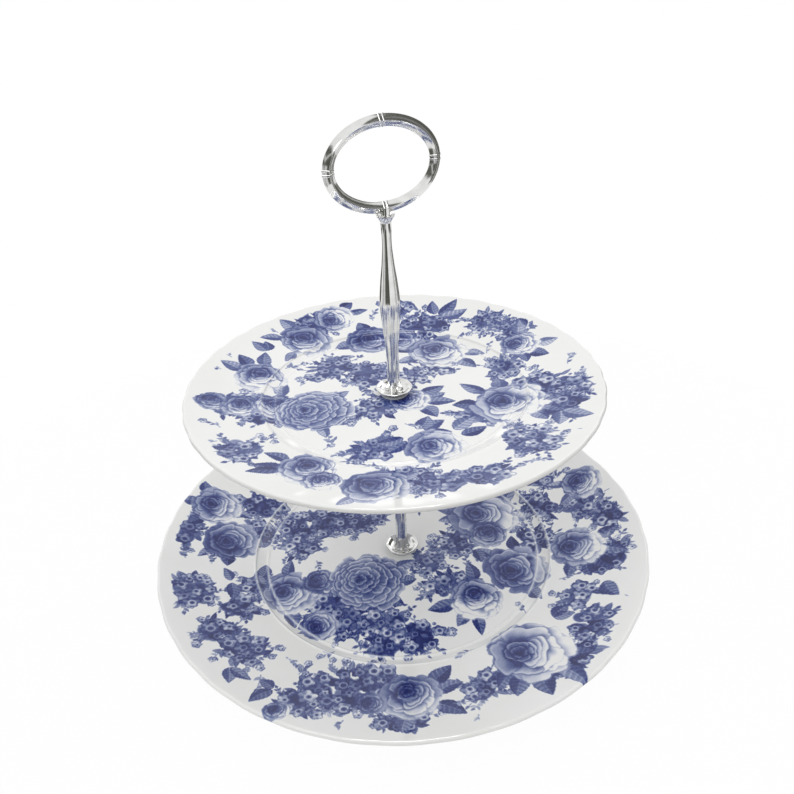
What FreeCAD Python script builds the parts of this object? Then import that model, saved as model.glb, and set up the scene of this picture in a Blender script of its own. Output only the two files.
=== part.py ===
import FreeCAD, Part
import math
import os

# Two-tier cake stand: two fluted china plates on a screwed-together metal
# stem with a ring handle.  Millimetres, +Z up, origin on the stem's axis at
# the surface that the foot ring of the lower plate stands on.  The ring
# handle's plane is XZ.

# ---- driving dimensions: the plates ----------------------------------------
LOWER_PLATE_RADIUS = 135.0      # to the middle of the rim's scallops
LOWER_PLATE_DEPTH = 18.5        # well to rim
LOWER_WELL_RADIUS = 79.0        # flat part of the well
LOWER_FOOT_HEIGHT = 5.0
LOWER_FOOT_RADIUS = 70.0        # outside of the foot ring

UPPER_PLATE_RADIUS = 103.5
UPPER_PLATE_DEPTH = 10.0
UPPER_WELL_RADIUS = 61.5
UPPER_FOOT_HEIGHT = 3.0
UPPER_FOOT_RADIUS = 53.0

CHINA_THICKNESS = 3.5           # well and lip
RIM_THICKNESS = 2.6             # at the rounded edge
VERGE_WIDTH = 8.0               # curved step between the well and the lip
VERGE_SHARE = 0.40              # part of the depth that the verge climbs
FOOT_RING_WIDTH = 4.5
PLATE_HOLE_RADIUS = 4.0         # drilled through the middle of each plate
SCALLOPS = 36
SCALLOP_DEPTH = 1.2             # crest to valley, radially
RIM_TRIM = 0.15                 # taken off the rounded edge at a crest
FOOT_TAPER = 0.9                # each side of the foot ring

TIER_SPACING = 105.5            # top of the lower well to top of the upper well

# ---- driving dimensions: the stem ------------------------------------------
FLUTES = 8
FLUTE_DEPTH = 0.05              # hollow of each flute, as a share of the radius
POST_FOOT_RADIUS = 4.9          # flared ends that press on the dishes
POST_FOOT_FLARE = 5.0           # height over which an end flares
POST_BELLY_RADIUS = 4.95
WAIST_WALL = 1.1                # from a thread to the corners of the flutes
LOWER_NECK_WALL = 0.9
UPPER_NECK_WALL = 0.9
UPPER_POST_TOP_WALL = 1.25
UPPER_POST_LENGTH = 86.2
WAIST_SHARE = 0.25              # heights on a post, as shares of its length
BELLY_SHARE = 0.55
SHOULDER_SHARE = 0.78
NECK_SHARE = 0.90
SHOULDER_SWELL = 0.8            # shoulder radius over the neck's
FLARE_KNEE_HEIGHT = 0.35        # where an end's flare bends, as shares of it
FLARE_KNEE_RADIUS = 0.80

DISH_RADIUS = 9.4
DISH_HEIGHT = 2.8
DISH_THICKNESS = 1.0
DISH_FLOOR_RADIUS = 6.2
DISH_LIP = 0.4                  # rounding of the rim
DISH_LOBE_DEPTH = 0.5
PAD_RADIUS = 7.0
PAD_THICKNESS = 1.0
BUSH_FLANGE_THICKNESS = 1.0
WASHER_RADIUS = 7.5
WASHER_THICKNESS = 0.8
SCREW_HEAD_RADIUS = 4.2
SCREW_HEAD_HEIGHT = 2.2
SCREW_HEAD_ROUNDING = 0.6
SCREW_SLOT_WIDTH = 1.0
SCREW_SLOT_DEPTH = 1.1

STEM_THREAD_RADIUS = 2.0        # M4, modelled as a plain cylinder
STEM_THREAD_DEPTH = 11.0        # engaged in a post
HANDLE_THREAD_RADIUS = 1.25     # M2.5
HANDLE_THREAD_DEPTH = 6.0       # in the top of the upper post
HANDLE_THREAD_REACH = 4.4       # above the top of the upper post
BORE_END_SPACE = 1.0            # empty end of a blind threaded hole

# ---- driving dimensions: the ring handle -----------------------------------
RING_HALF_WIDTH = 25.1          # centre line, along X
RING_HALF_HEIGHT = 18.15        # centre line, along Z
RING_STRIP_HALF_WIDTH = 2.6     # ridged strip, in the plane of the ring
RING_STRIP_HALF_DEPTH = 1.9     # ridged strip, along Y
RING_BEAD_RISE = 0.35           # how far a bead stands out of the strip
RING_BEAD_LENGTH = 0.9
RING_BEAD_GAP = 0.8             # groove between the two beads of a pair
BOSS_WALL = 0.85                # from the handle thread to the outside of the boss
BOSS_HEIGHT = 3.6               # collar floor to the outside of the ring
COLLAR_FLOOR = 0.8
COLLAR_HEIGHT = 3.5
COLLAR_TIP_RADIUS = 4.7
COLLAR_VALLEY_RADIUS = 3.5
COLLAR_BASE_RADIUS = 2.55
COLLAR_WALL = 0.6

# ---- clearances -------------------------------------------------------------
RUNNING = 0.05                  # radial, between turning pieces and threads
LOOSE = 0.3                     # radial, round a stud that passes through

# ---- radii that follow from the threads ---------------------------------------
POST_WAIST_RADIUS = STEM_THREAD_RADIUS + WAIST_WALL
LOWER_NECK_RADIUS = STEM_THREAD_RADIUS + LOWER_NECK_WALL
UPPER_NECK_RADIUS = HANDLE_THREAD_RADIUS + UPPER_NECK_WALL
UPPER_POST_TOP_RADIUS = HANDLE_THREAD_RADIUS + UPPER_POST_TOP_WALL
BOSS_RADIUS = HANDLE_THREAD_RADIUS + BOSS_WALL

# ---- heights that follow from the stack --------------------------------------
LOWER_WELL_UNDERSIDE = LOWER_FOOT_HEIGHT
LOWER_WELL_TOP = LOWER_WELL_UNDERSIDE + CHINA_THICKNESS
LOWER_DISH_BASE = LOWER_WELL_TOP + PAD_THICKNESS
LOWER_POST_BASE = LOWER_DISH_BASE + DISH_THICKNESS
UPPER_WELL_TOP = LOWER_WELL_TOP + TIER_SPACING
UPPER_WELL_UNDERSIDE = UPPER_WELL_TOP - CHINA_THICKNESS
SEAT_DISH_TOP = UPPER_WELL_UNDERSIDE - BUSH_FLANGE_THICKNESS
LOWER_POST_TOP = SEAT_DISH_TOP - DISH_THICKNESS
UPPER_DISH_BASE = UPPER_WELL_TOP + PAD_THICKNESS
UPPER_POST_BASE = UPPER_DISH_BASE + DISH_THICKNESS
UPPER_POST_TOP = UPPER_POST_BASE + UPPER_POST_LENGTH
BOSS_BASE = UPPER_POST_TOP + COLLAR_FLOOR
RING_CENTRE = BOSS_BASE + BOSS_HEIGHT + RING_STRIP_HALF_WIDTH + RING_HALF_HEIGHT

Z_AXIS = FreeCAD.Vector(0, 0, 1)
ORIGIN = FreeCAD.Vector(0, 0, 0)


def vec(x, y, z):
    return FreeCAD.Vector(x, y, z)


def polar(radius, angle, z):
    return vec(radius * math.cos(angle), radius * math.sin(angle), z)


def cylinder(radius, bottom, top):
    return Part.makeCylinder(radius, top - bottom, vec(0, 0, bottom))


def tube(outer, inner, bottom, top):
    return cylinder(outer, bottom, top).cut(cylinder(inner, bottom - 1, top + 1))


def spin(edges):
    """Turn a closed outline in the XZ half-plane once round Z."""
    face = Part.Face(Part.Wire(edges))
    return face.revolve(ORIGIN, Z_AXIS, 360)


def chain_of_edges(corners):
    """Straight edges through (radius, z) corners, left open."""
    return Part.makePolygon([vec(r, 0, z) for r, z in corners]).Edges


def corners_to_edges(corners):
    """Straight edges through (radius, z) corners, closed."""
    return chain_of_edges(corners + corners[:1])


def smooth_edge(stations, first_tangent=None):
    """A smooth curve through (radius, z) stations in the XZ plane."""
    curve = Part.BSplineCurve()
    points = [vec(r, 0, z) for r, z in stations]
    if first_tangent is None:
        curve.interpolate(Points=points)
    else:
        tangents = [first_tangent] + [vec(0, 0, 0)] * (len(points) - 1)
        flags = [True] + [False] * (len(points) - 1)
        curve.interpolate(Points=points, Tangents=tangents, TangentFlags=flags)
    return curve.toShape()


def lobed_wire(corner_radius, middle_radius, lobes, z, turn=0.0):
    """Closed wire of equal arcs: corners on one radius, middles on another."""
    step = 2 * math.pi / lobes
    edges = []
    for i in range(lobes):
        start = polar(corner_radius, turn + i * step, z)
        middle = polar(middle_radius, turn + (i + 0.5) * step, z)
        end = polar(corner_radius, turn + (i + 1) * step, z)
        edges.append(Part.Arc(start, middle, end).toShape())
    return Part.Wire(edges)


# ---- plates ------------------------------------------------------------------
def make_plate(radius, depth, well_radius, foot_height, foot_radius, hole_radius):
    """A scalloped plate with the underside of its well at z = 0."""
    top = CHINA_THICKNESS
    rim = top + depth
    verge_end = well_radius + VERGE_WIDTH
    verge_mid = well_radius + VERGE_WIDTH / 2
    verge_rise = VERGE_SHARE * depth
    lip_mid = (verge_end + radius) / 2
    lip_rise = (verge_rise + depth) / 2
    crest = radius + SCALLOP_DEPTH / 2
    rim_radius = RIM_THICKNESS / 2
    rim_centre = crest + RIM_TRIM - rim_radius
    foot_inner = foot_radius - FOOT_RING_WIDTH
    along_well = vec(1, 0, 0)

    upper_side = [(well_radius, top), (verge_mid, top + 0.4 * verge_rise),
                  (verge_end, top + verge_rise), (lip_mid, top + lip_rise), (rim_centre, rim)]
    lower_side = [(well_radius, 0), (verge_mid, 0.4 * verge_rise), (verge_end, verge_rise),
                  (lip_mid, lip_rise), (rim_centre, rim - RIM_THICKNESS)]
    edges = [
        smooth_edge(upper_side, along_well),
        Part.Arc(vec(rim_centre, 0, rim), vec(rim_centre + rim_radius, 0, rim - rim_radius),
                 vec(rim_centre, 0, rim - RIM_THICKNESS)).toShape(),
        smooth_edge(lower_side, along_well),
    ]
    underside = [(well_radius, 0), (foot_radius, 0), (foot_radius - FOOT_TAPER, -foot_height),
                 (foot_inner + FOOT_TAPER, -foot_height), (foot_inner, 0), (hole_radius, 0),
                 (hole_radius, top), (well_radius, top)]
    edges += chain_of_edges(underside)
    body = spin(Part.__sortEdges__(edges))
    outline = lobed_wire(crest - SCALLOP_DEPTH, crest, SCALLOPS, -foot_height - 1)
    return body.common(Part.Face(outline).extrude(vec(0, 0, foot_height + rim + 2)))


def lower_plate():
    plate = make_plate(LOWER_PLATE_RADIUS, LOWER_PLATE_DEPTH, LOWER_WELL_RADIUS,
                       LOWER_FOOT_HEIGHT, LOWER_FOOT_RADIUS, PLATE_HOLE_RADIUS)
    plate.translate(vec(0, 0, LOWER_WELL_UNDERSIDE))
    return plate


def upper_plate():
    plate = make_plate(UPPER_PLATE_RADIUS, UPPER_PLATE_DEPTH, UPPER_WELL_RADIUS,
                       UPPER_FOOT_HEIGHT, UPPER_FOOT_RADIUS, PLATE_HOLE_RADIUS)
    plate.translate(vec(0, 0, UPPER_WELL_UNDERSIDE))
    return plate


# ---- posts -------------------------------------------------------------------
def make_post(base, top, stations):
    """A fluted baluster: stations are (height above base, corner radius)."""
    half_step = math.pi / FLUTES
    wires = []
    for height, radius in stations:
        hollow = radius * (math.cos(half_step) - FLUTE_DEPTH)
        wires.append(lobed_wire(radius, hollow, FLUTES, base + height, half_step))
    post = Part.makeLoft(wires, True, False)
    return post.common(cylinder(3 * POST_FOOT_RADIUS, base, top))


def foot_stations():
    """The flared foot that both posts stand on."""
    return [
        (0, POST_FOOT_RADIUS),
        (FLARE_KNEE_HEIGHT * POST_FOOT_FLARE, FLARE_KNEE_RADIUS * POST_FOOT_RADIUS),
        (POST_FOOT_FLARE, POST_WAIST_RADIUS),
    ]


def lower_post():
    length = LOWER_POST_TOP - LOWER_POST_BASE
    stations = foot_stations() + [
        (WAIST_SHARE * length, POST_WAIST_RADIUS),
        (BELLY_SHARE * length, POST_BELLY_RADIUS),
        (SHOULDER_SHARE * length, LOWER_NECK_RADIUS + SHOULDER_SWELL / 2),
        (length - POST_FOOT_FLARE, LOWER_NECK_RADIUS),
        (length - FLARE_KNEE_HEIGHT * POST_FOOT_FLARE, FLARE_KNEE_RADIUS * POST_FOOT_RADIUS),
        (length, POST_FOOT_RADIUS),
    ]
    post = make_post(LOWER_POST_BASE, LOWER_POST_TOP, stations)
    bore = STEM_THREAD_RADIUS + RUNNING
    depth = STEM_THREAD_DEPTH + BORE_END_SPACE
    post = post.cut(cylinder(bore, LOWER_POST_BASE - 1, LOWER_POST_BASE + depth))
    return post.cut(cylinder(bore, LOWER_POST_TOP - depth, LOWER_POST_TOP + 1))


def upper_post():
    length = UPPER_POST_LENGTH
    stations = foot_stations() + [
        (WAIST_SHARE * length, POST_WAIST_RADIUS),
        (BELLY_SHARE * length, POST_BELLY_RADIUS),
        (SHOULDER_SHARE * length, UPPER_NECK_RADIUS + SHOULDER_SWELL),
        (NECK_SHARE * length, UPPER_NECK_RADIUS),
        (length, UPPER_POST_TOP_RADIUS),
    ]
    post = make_post(UPPER_POST_BASE, UPPER_POST_TOP, stations)
    lower_bore = cylinder(STEM_THREAD_RADIUS + RUNNING, UPPER_POST_BASE - 1,
                          UPPER_POST_BASE + STEM_THREAD_DEPTH + BORE_END_SPACE)
    upper_bore = cylinder(HANDLE_THREAD_RADIUS, UPPER_POST_TOP - HANDLE_THREAD_DEPTH,
                          UPPER_POST_TOP + 1)
    return post.cut(lower_bore).cut(upper_bore)


# ---- dishes, pads, bushes and fasteners ---------------------------------------
def make_dish(base):
    """A shallow lobed cup, open upwards, with its floor's underside at base."""
    hole = STEM_THREAD_RADIUS + LOOSE
    rim = base + DISH_HEIGHT
    floor = base + DISH_THICKNESS
    wall_inside = DISH_RADIUS - DISH_THICKNESS + DISH_LIP / 2
    cup = spin(corners_to_edges([
        (hole, base), (DISH_FLOOR_RADIUS, base),
        (DISH_RADIUS, rim - DISH_LIP), (DISH_RADIUS - DISH_LIP, rim),
        (wall_inside, rim), (DISH_FLOOR_RADIUS, floor), (hole, floor)]))
    outline = lobed_wire(DISH_RADIUS - DISH_LOBE_DEPTH, DISH_RADIUS, FLUTES, base - 1)
    return cup.common(Part.Face(outline).extrude(vec(0, 0, DISH_HEIGHT + 2)))


def lower_dish():
    return make_dish(LOWER_DISH_BASE)


def upper_dish():
    return make_dish(UPPER_DISH_BASE)


def seat_dish():
    """The same cup turned over, carrying the upper plate from below."""
    dish = make_dish(0)
    dish.rotate(ORIGIN, vec(1, 0, 0), 180)
    dish.translate(vec(0, 0, SEAT_DISH_TOP))
    return dish


def make_pad(base):
    return tube(PAD_RADIUS, STEM_THREAD_RADIUS + LOOSE, base, base + PAD_THICKNESS)


def lower_pad():
    return make_pad(LOWER_WELL_TOP)


def upper_pad():
    return make_pad(UPPER_WELL_TOP)


def make_bush(well_underside):
    """A stepped washer: a flange under the plate and a sleeve in its hole."""
    flange_base = well_underside - BUSH_FLANGE_THICKNESS
    flange = cylinder(PAD_RADIUS, flange_base, well_underside)
    sleeve = cylinder(PLATE_HOLE_RADIUS - RUNNING, flange_base,
                      well_underside + 0.9 * CHINA_THICKNESS)
    hole = cylinder(STEM_THREAD_RADIUS + RUNNING, flange_base - 1,
                    well_underside + CHINA_THICKNESS)
    return flange.fuse(sleeve).cut(hole).removeSplitter()


def base_bush():
    return make_bush(LOWER_WELL_UNDERSIDE)


def seat_bush():
    return make_bush(UPPER_WELL_UNDERSIDE)


def base_washer():
    top = LOWER_WELL_UNDERSIDE - BUSH_FLANGE_THICKNESS
    return tube(WASHER_RADIUS, STEM_THREAD_RADIUS + LOOSE, top - WASHER_THICKNESS, top)


def base_screw():
    head_top = LOWER_WELL_UNDERSIDE - BUSH_FLANGE_THICKNESS - WASHER_THICKNESS
    head_base = head_top - SCREW_HEAD_HEIGHT
    head = cylinder(SCREW_HEAD_RADIUS, head_base, head_top)
    lowest = min(head.Edges, key=lambda edge: edge.CenterOfMass.z)
    head = head.makeFillet(SCREW_HEAD_ROUNDING, [lowest])
    slot = Part.makeBox(3 * SCREW_HEAD_RADIUS, SCREW_SLOT_WIDTH, SCREW_SLOT_DEPTH,
                        vec(-1.5 * SCREW_HEAD_RADIUS, -SCREW_SLOT_WIDTH / 2, head_base))
    shank = cylinder(STEM_THREAD_RADIUS, head_top - 0.1, LOWER_POST_BASE + STEM_THREAD_DEPTH)
    return head.cut(slot).fuse(shank).removeSplitter()


def joining_stud():
    return cylinder(STEM_THREAD_RADIUS, LOWER_POST_TOP - STEM_THREAD_DEPTH,
                    UPPER_POST_BASE + STEM_THREAD_DEPTH)


def handle_stud():
    return cylinder(HANDLE_THREAD_RADIUS, UPPER_POST_TOP - HANDLE_THREAD_DEPTH,
                    UPPER_POST_TOP + HANDLE_THREAD_REACH)


# ---- handle --------------------------------------------------------------------
def handle_collar():
    """A flared eight-pointed cup that the ring's boss stands in."""
    step = math.pi / FLUTES
    levels = [(0, COLLAR_BASE_RADIUS, COLLAR_BASE_RADIUS),
              (COLLAR_HEIGHT, COLLAR_TIP_RADIUS, COLLAR_VALLEY_RADIUS)]
    wires = []
    for height, tip, valley in levels:
        points = [polar(tip if i % 2 == 0 else valley, i * step, UPPER_POST_TOP + height)
                  for i in range(2 * FLUTES)]
        wires.append(Part.makePolygon(points + points[:1]))
    star = Part.makeLoft(wires, True, True)
    floor = UPPER_POST_TOP + COLLAR_FLOOR
    hollow = Part.makeCone(BOSS_RADIUS + RUNNING, COLLAR_VALLEY_RADIUS - COLLAR_WALL,
                           COLLAR_HEIGHT - COLLAR_FLOOR, vec(0, 0, floor))
    hole = cylinder(HANDLE_THREAD_RADIUS + RUNNING, UPPER_POST_TOP - 1, floor + 1)
    return star.cut(hollow).cut(hole)


def ridged_section(centre, outward, rise=0.0):
    """Four-sided section with ridges front and back, grown by rise."""
    edge = outward * (RING_STRIP_HALF_WIDTH + rise)
    ridge = vec(0, RING_STRIP_HALF_DEPTH + rise, 0)
    corners = [centre + edge, centre + ridge, centre - edge, centre - ridge]
    return Part.makePolygon(corners + corners[:1])


def ring_bead_pair(centre, outward, along):
    """Two ridged beads with a groove between them, round the strip."""
    beads = []
    for side in (-1, 1):
        middle = side * (RING_BEAD_GAP + RING_BEAD_LENGTH) / 2
        start = centre + along * (middle - RING_BEAD_LENGTH / 2)
        section = Part.Face(ridged_section(start, outward, RING_BEAD_RISE))
        beads.append(section.extrude(along * RING_BEAD_LENGTH))
    return beads


def handle_ring():
    centre = vec(0, 0, RING_CENTRE)
    right, up = vec(1, 0, 0), vec(0, 0, 1)
    ellipse = Part.Ellipse(centre + right * RING_HALF_WIDTH, centre + up * RING_HALF_HEIGHT, centre)
    quarter = (ellipse.LastParameter - ellipse.FirstParameter) / 4
    path = Part.Wire([ellipse.toShape(i * quarter, (i + 1) * quarter) for i in range(4)])
    start = centre + right * RING_HALF_WIDTH
    ring = path.makePipeShell([ridged_section(start, right)], True, False)

    beads = []
    for outward, distance, along in ((right, RING_HALF_WIDTH, up), (up, RING_HALF_HEIGHT, right)):
        for side in (-1, 1):
            beads += ring_bead_pair(centre + outward * (side * distance), outward, along)

    boss_top = BOSS_BASE + BOSS_HEIGHT + RING_STRIP_HALF_WIDTH
    boss = cylinder(BOSS_RADIUS, BOSS_BASE, boss_top)
    bore = cylinder(HANDLE_THREAD_RADIUS + RUNNING, BOSS_BASE - 1,
                    UPPER_POST_TOP + HANDLE_THREAD_REACH + RUNNING)
    return ring.fuse(beads + [boss]).cut(bore)


NODES = (
    lower_plate, upper_plate,
    base_screw, base_washer, base_bush,
    lower_pad, lower_dish, lower_post,
    seat_dish, seat_bush, upper_pad, upper_dish,
    joining_stud, upper_post,
    handle_stud, handle_collar, handle_ring,
)

os.makedirs("parts", exist_ok=True)
for make_node in NODES:
    make_node().exportStep(os.path.join("parts", make_node.__name__ + ".step"))
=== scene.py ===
import math

import bpy
import numpy as np
from mathutils import Matrix, Vector


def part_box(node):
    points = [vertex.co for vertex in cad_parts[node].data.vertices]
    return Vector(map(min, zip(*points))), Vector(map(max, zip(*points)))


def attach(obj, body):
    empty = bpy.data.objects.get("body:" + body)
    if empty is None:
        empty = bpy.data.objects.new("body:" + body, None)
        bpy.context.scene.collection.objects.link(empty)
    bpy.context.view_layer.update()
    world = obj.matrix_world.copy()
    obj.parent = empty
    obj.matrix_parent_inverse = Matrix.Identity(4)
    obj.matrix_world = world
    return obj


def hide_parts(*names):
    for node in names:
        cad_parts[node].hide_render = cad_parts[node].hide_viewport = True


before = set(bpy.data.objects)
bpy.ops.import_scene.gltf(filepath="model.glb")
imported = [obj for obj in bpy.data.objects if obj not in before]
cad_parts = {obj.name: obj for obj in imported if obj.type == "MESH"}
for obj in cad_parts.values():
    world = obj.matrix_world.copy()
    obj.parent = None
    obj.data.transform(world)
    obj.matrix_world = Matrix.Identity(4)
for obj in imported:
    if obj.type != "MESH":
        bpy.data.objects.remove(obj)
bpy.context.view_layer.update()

# Looks of the two-tier cake stand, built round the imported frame. Sizes are in
# millimetres until a mesh is made; the frame and Blender are in metres.
MM = 0.001


def span(node):
    """Lowest and highest corner of a CAD node, in millimetres."""
    low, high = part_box(node)
    return np.array(low) / MM, np.array(high) / MM


# ---- mesh helpers ----
def circle(count):
    """Headings of so many points round a ring."""
    return np.arange(count) * 2 * math.pi / count


def ring_points(radius, height, count, start=0.0):
    """Points of one ring; radius and height are numbers or one value a point."""
    turn = start + circle(count)
    return np.stack([radius * np.cos(turn), radius * np.sin(turn), height + 0 * turn], 1)


def skin(rings, closed):
    """Faces over a stack of rings. A ring may have half or twice the points of the
    one before, or be a single point. Returns points, faces and each face's ring."""
    points = np.concatenate(rings)
    starts = np.cumsum([0] + [len(ring) for ring in rings])
    faces, owner = [], []
    steps = [(i, i + 1) for i in range(len(rings) - 1)]
    if closed:
        steps.append((len(rings) - 1, 0))
    for first, second in steps:
        count_a, count_b = len(rings[first]), len(rings[second])
        a, b = starts[first], starts[second]
        pointed = 1 in (count_a, count_b)
        i = np.arange(max(count_a, count_b) if pointed else min(count_a, count_b))
        j = (i + 1) % len(i)
        if count_a == count_b:
            made = [(a + i, b + i, b + j, a + j)]
        elif count_a == 1:
            made = [(a + 0 * i, b + i, b + j)]
        elif count_b == 1:
            made = [(a + i, b + 0 * i, a + j)]
        elif count_b > count_a:
            made = [(a + i, b + 2 * i, b + 2 * i + 1), (a + i, b + 2 * i + 1, a + j),
                    (a + j, b + 2 * i + 1, b + 2 * j)]
        else:
            made = [(a + 2 * i, b + i, a + 2 * i + 1), (a + 2 * i + 1, b + i, b + j),
                    (a + 2 * i + 1, b + j, a + 2 * j)]
        for corners in made:
            faces.append(np.stack(corners, 1))
            owner.append(np.full(len(i), first))
    return points, faces, owner


def facing_out(points, faces):
    """The faces of a closed shape, turned over if they look inwards."""
    volume = 0.0
    for group in faces:
        for k in range(1, group.shape[1] - 1):
            a, b, c = points[group[:, 0]], points[group[:, k]], points[group[:, k + 1]]
            volume += np.sum(a * np.cross(b, c))
    return faces if volume > 0 else [group[:, ::-1] for group in faces]


def make_piece(name, points, faces, body, slot, node, sharp=None):
    """A smooth piece in place of a CAD node, from points in millimetres and groups of
    faces. Edges that bend by more than so many degrees stay sharp."""
    faces = facing_out(points, faces)
    corners = np.concatenate([group.ravel() for group in faces])
    sizes = np.concatenate([np.full(len(group), group.shape[1]) for group in faces])
    mesh = bpy.data.meshes.new(name)
    mesh.vertices.add(len(points))
    mesh.vertices.foreach_set("co", (points * MM).astype(np.float32).ravel())
    mesh.loops.add(len(corners))
    mesh.loops.foreach_set("vertex_index", corners.astype(np.int32))
    mesh.polygons.add(len(sizes))
    starts = np.concatenate([[0], np.cumsum(sizes)[:-1]])
    mesh.polygons.foreach_set("loop_start", starts.astype(np.int32))
    mesh.update(calc_edges=True)
    mesh.shade_smooth()
    if sharp:
        mesh.set_sharp_from_angle(angle=math.radians(sharp))
    mesh.materials.append(MATERIALS[slot])
    piece = bpy.data.objects.new(name, mesh)
    bpy.context.scene.collection.objects.link(piece)
    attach(piece, body)
    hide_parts(node)
    return mesh


def turn_piece(name, outline, count, body, slot, node, sharp, closed=False, start=0.0):
    """A piece turned from (radius, height) pairs, each a number or one value for every
    point round it. A plain radius of 0 is a point on the axis."""
    rings = [ring_points(radius, height, 1 if np.ndim(radius) == 0 and radius == 0 else count, start)
             for radius, height in outline]
    points, faces, _ = skin(rings, closed)
    make_piece(name, points, faces, body, slot, node, sharp)


def easy(stations, at):
    """A curve through (x, y) stations that never swings past them."""
    x, y = np.array(stations, float).T
    gap = np.diff(x)
    rate = np.diff(y) / gap
    slope = np.zeros(len(x))
    for i in range(1, len(x) - 1):
        if rate[i - 1] * rate[i] > 0:
            slope[i] = 2 * rate[i - 1] * rate[i] / (rate[i - 1] + rate[i])
    slope[0], slope[-1] = rate[0], rate[-1]
    at = np.asarray(at, float)
    i = np.clip(np.searchsorted(x, at) - 1, 0, len(x) - 2)
    t = np.clip((at - x[i]) / gap[i], 0, 1)
    return (y[i] * (1 + 2 * t) * (1 - t) ** 2 + slope[i] * gap[i] * t * (1 - t) ** 2
            + y[i + 1] * t * t * (3 - 2 * t) - slope[i + 1] * gap[i] * t * t * (1 - t))


def ramp(value):
    """0 to 1 with soft ends."""
    value = np.clip(value, 0.0, 1.0)
    return value * value * (3.0 - 2.0 * value)


# ---- materials ----
def linear(*levels):
    """A linear colour from 0 to 255 display levels."""
    values = [level / 255 for level in levels]
    return [v / 12.92 if v <= 0.04045 else ((v + 0.055) / 1.055) ** 2.4 for v in values] + [1.0]


class Tree:
    """Short ways to add nodes to a material or to the room."""

    def __init__(self, tree):
        self.tree = tree

    def node(self, kind, inputs=None, **settings):
        """A new node with its settings and the values or links of its inputs."""
        node = self.tree.nodes.new("ShaderNode" + kind)
        for name, value in settings.items():
            setattr(node, name, value)
        for name, value in (inputs or {}).items():
            self.put(value, node.inputs[name])
        return node

    def put(self, value, socket):
        """Gives a socket its value, or links it to another node's output."""
        if isinstance(value, (int, float, tuple, list)):
            socket.default_value = value
        else:
            self.tree.links.new(value, socket)

    def math(self, operation, a, b, clamp=False):
        return self.node("Math", {0: a, 1: b}, operation=operation, use_clamp=clamp).outputs[0]

    def ramp(self, value, stops):
        """Colours at (place, colour) stops."""
        node = self.node("ValToRGB", {"Fac": value})
        band = node.color_ramp
        while len(band.elements) < len(stops):
            band.elements.new(0.5)
        for element, (place, colour) in zip(band.elements, stops):
            element.position = place
            element.color = colour
        return node.outputs["Color"]

    def mix(self, factor, a, b):
        """One colour over another."""
        inputs = {"Factor": factor, "A": a, "B": b}
        return self.node("Mix", inputs, data_type="RGBA").outputs["Result"]

    def light(self, kind, colour, strength):
        """An Emission or Background of a colour."""
        return self.node(kind, {"Color": colour, "Strength": strength}).outputs[0]

    def mix_shader(self, factor, a, b):
        return self.node("MixShader", {0: factor, 1: a, 2: b}).outputs[0]


class Paint(Tree):
    """A material built round its own shader, with patterns that lie in the piece."""

    def __init__(self, name):
        self.material = bpy.data.materials.new(name)
        self.material.use_nodes = True
        super().__init__(self.material.node_tree)
        self.shader = self.tree.nodes["Principled BSDF"]
        self.spot = self.node("TexCoord").outputs["Object"]

    def set(self, **values):
        """Sets or links the shader's sockets; an underscore stands for a space."""
        for name, value in values.items():
            self.put(value, self.shader.inputs[name.replace("_", " ")])

    def noise(self, scale, detail=3.0, stretch=None):
        """Noise with so many features a metre, stretched along an axis if asked."""
        source = self.spot
        if stretch:
            source = self.node("Mapping", {"Vector": source, "Scale": stretch}).outputs["Vector"]
        return self.node("TexNoise", {"Vector": source, "Scale": scale, "Detail": detail}).outputs["Fac"]

    def attribute(self, name):
        return self.node("Attribute", attribute_name=name).outputs["Fac"]

    def span(self, value, low, high, to_low, to_high):
        """A value's range mapped to another."""
        return self.node("MapRange", {"Value": value, "From Min": low, "From Max": high,
                                      "To Min": to_low, "To Max": to_high}).outputs["Result"]

    def tones(self, value, dark, light, spread=0.2):
        """Two display colours, as far as the spread from a noise's middle."""
        return self.ramp(value, ((0.5 - spread, linear(*dark)), (0.5 + spread, linear(*light))))

    def bump(self, value, depth):
        """A relief so many metres deep."""
        self.set(Normal=self.node("Bump", {"Distance": depth, "Height": value}).outputs["Normal"])


def make_china():
    """White china under a clear glaze, with cobalt ink between the two."""
    paint = Paint("china")
    ink = paint.attribute("ink")
    bare = paint.attribute("bare")
    grain, cloud = (paint.math("MULTIPLY", paint.math("SUBTRACT", noise, 0.5), share)
                    for noise, share in ((paint.noise(1500, 2.0), 0.55), (paint.noise(160), 0.45)))
    uneven = paint.math("ADD", grain, cloud)
    shade = paint.math("ADD", ink, paint.math("MULTIPLY", uneven, ink), clamp=True)
    cobalt = paint.ramp(shade, (
        (0.00, linear(243, 243, 241)), (0.10, linear(219, 222, 231)), (0.32, linear(154, 163, 194)),
        (0.58, linear(87, 101, 151)), (0.80, linear(44, 57, 124)), (1.00, linear(17, 27, 90))))
    white = paint.tones(paint.noise(18, 2.0), (240, 240, 237), (245, 245, 244))
    glazed = paint.mix(paint.span(ink, 0.0, 0.10, 0.0, 1.0), white, cobalt)
    biscuit = paint.tones(paint.noise(700, 4.0), (205, 198, 186), (226, 221, 212))
    gloss = paint.span(paint.noise(90), 0.3, 0.7, 0.045, 0.085)
    paint.set(Base_Color=paint.mix(bare, glazed, biscuit),
              Roughness=paint.math("ADD", gloss, paint.math("MULTIPLY", bare, 0.6)))
    paint.bump(paint.noise(55, 1.0), 0.00006)
    return paint.material


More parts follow.
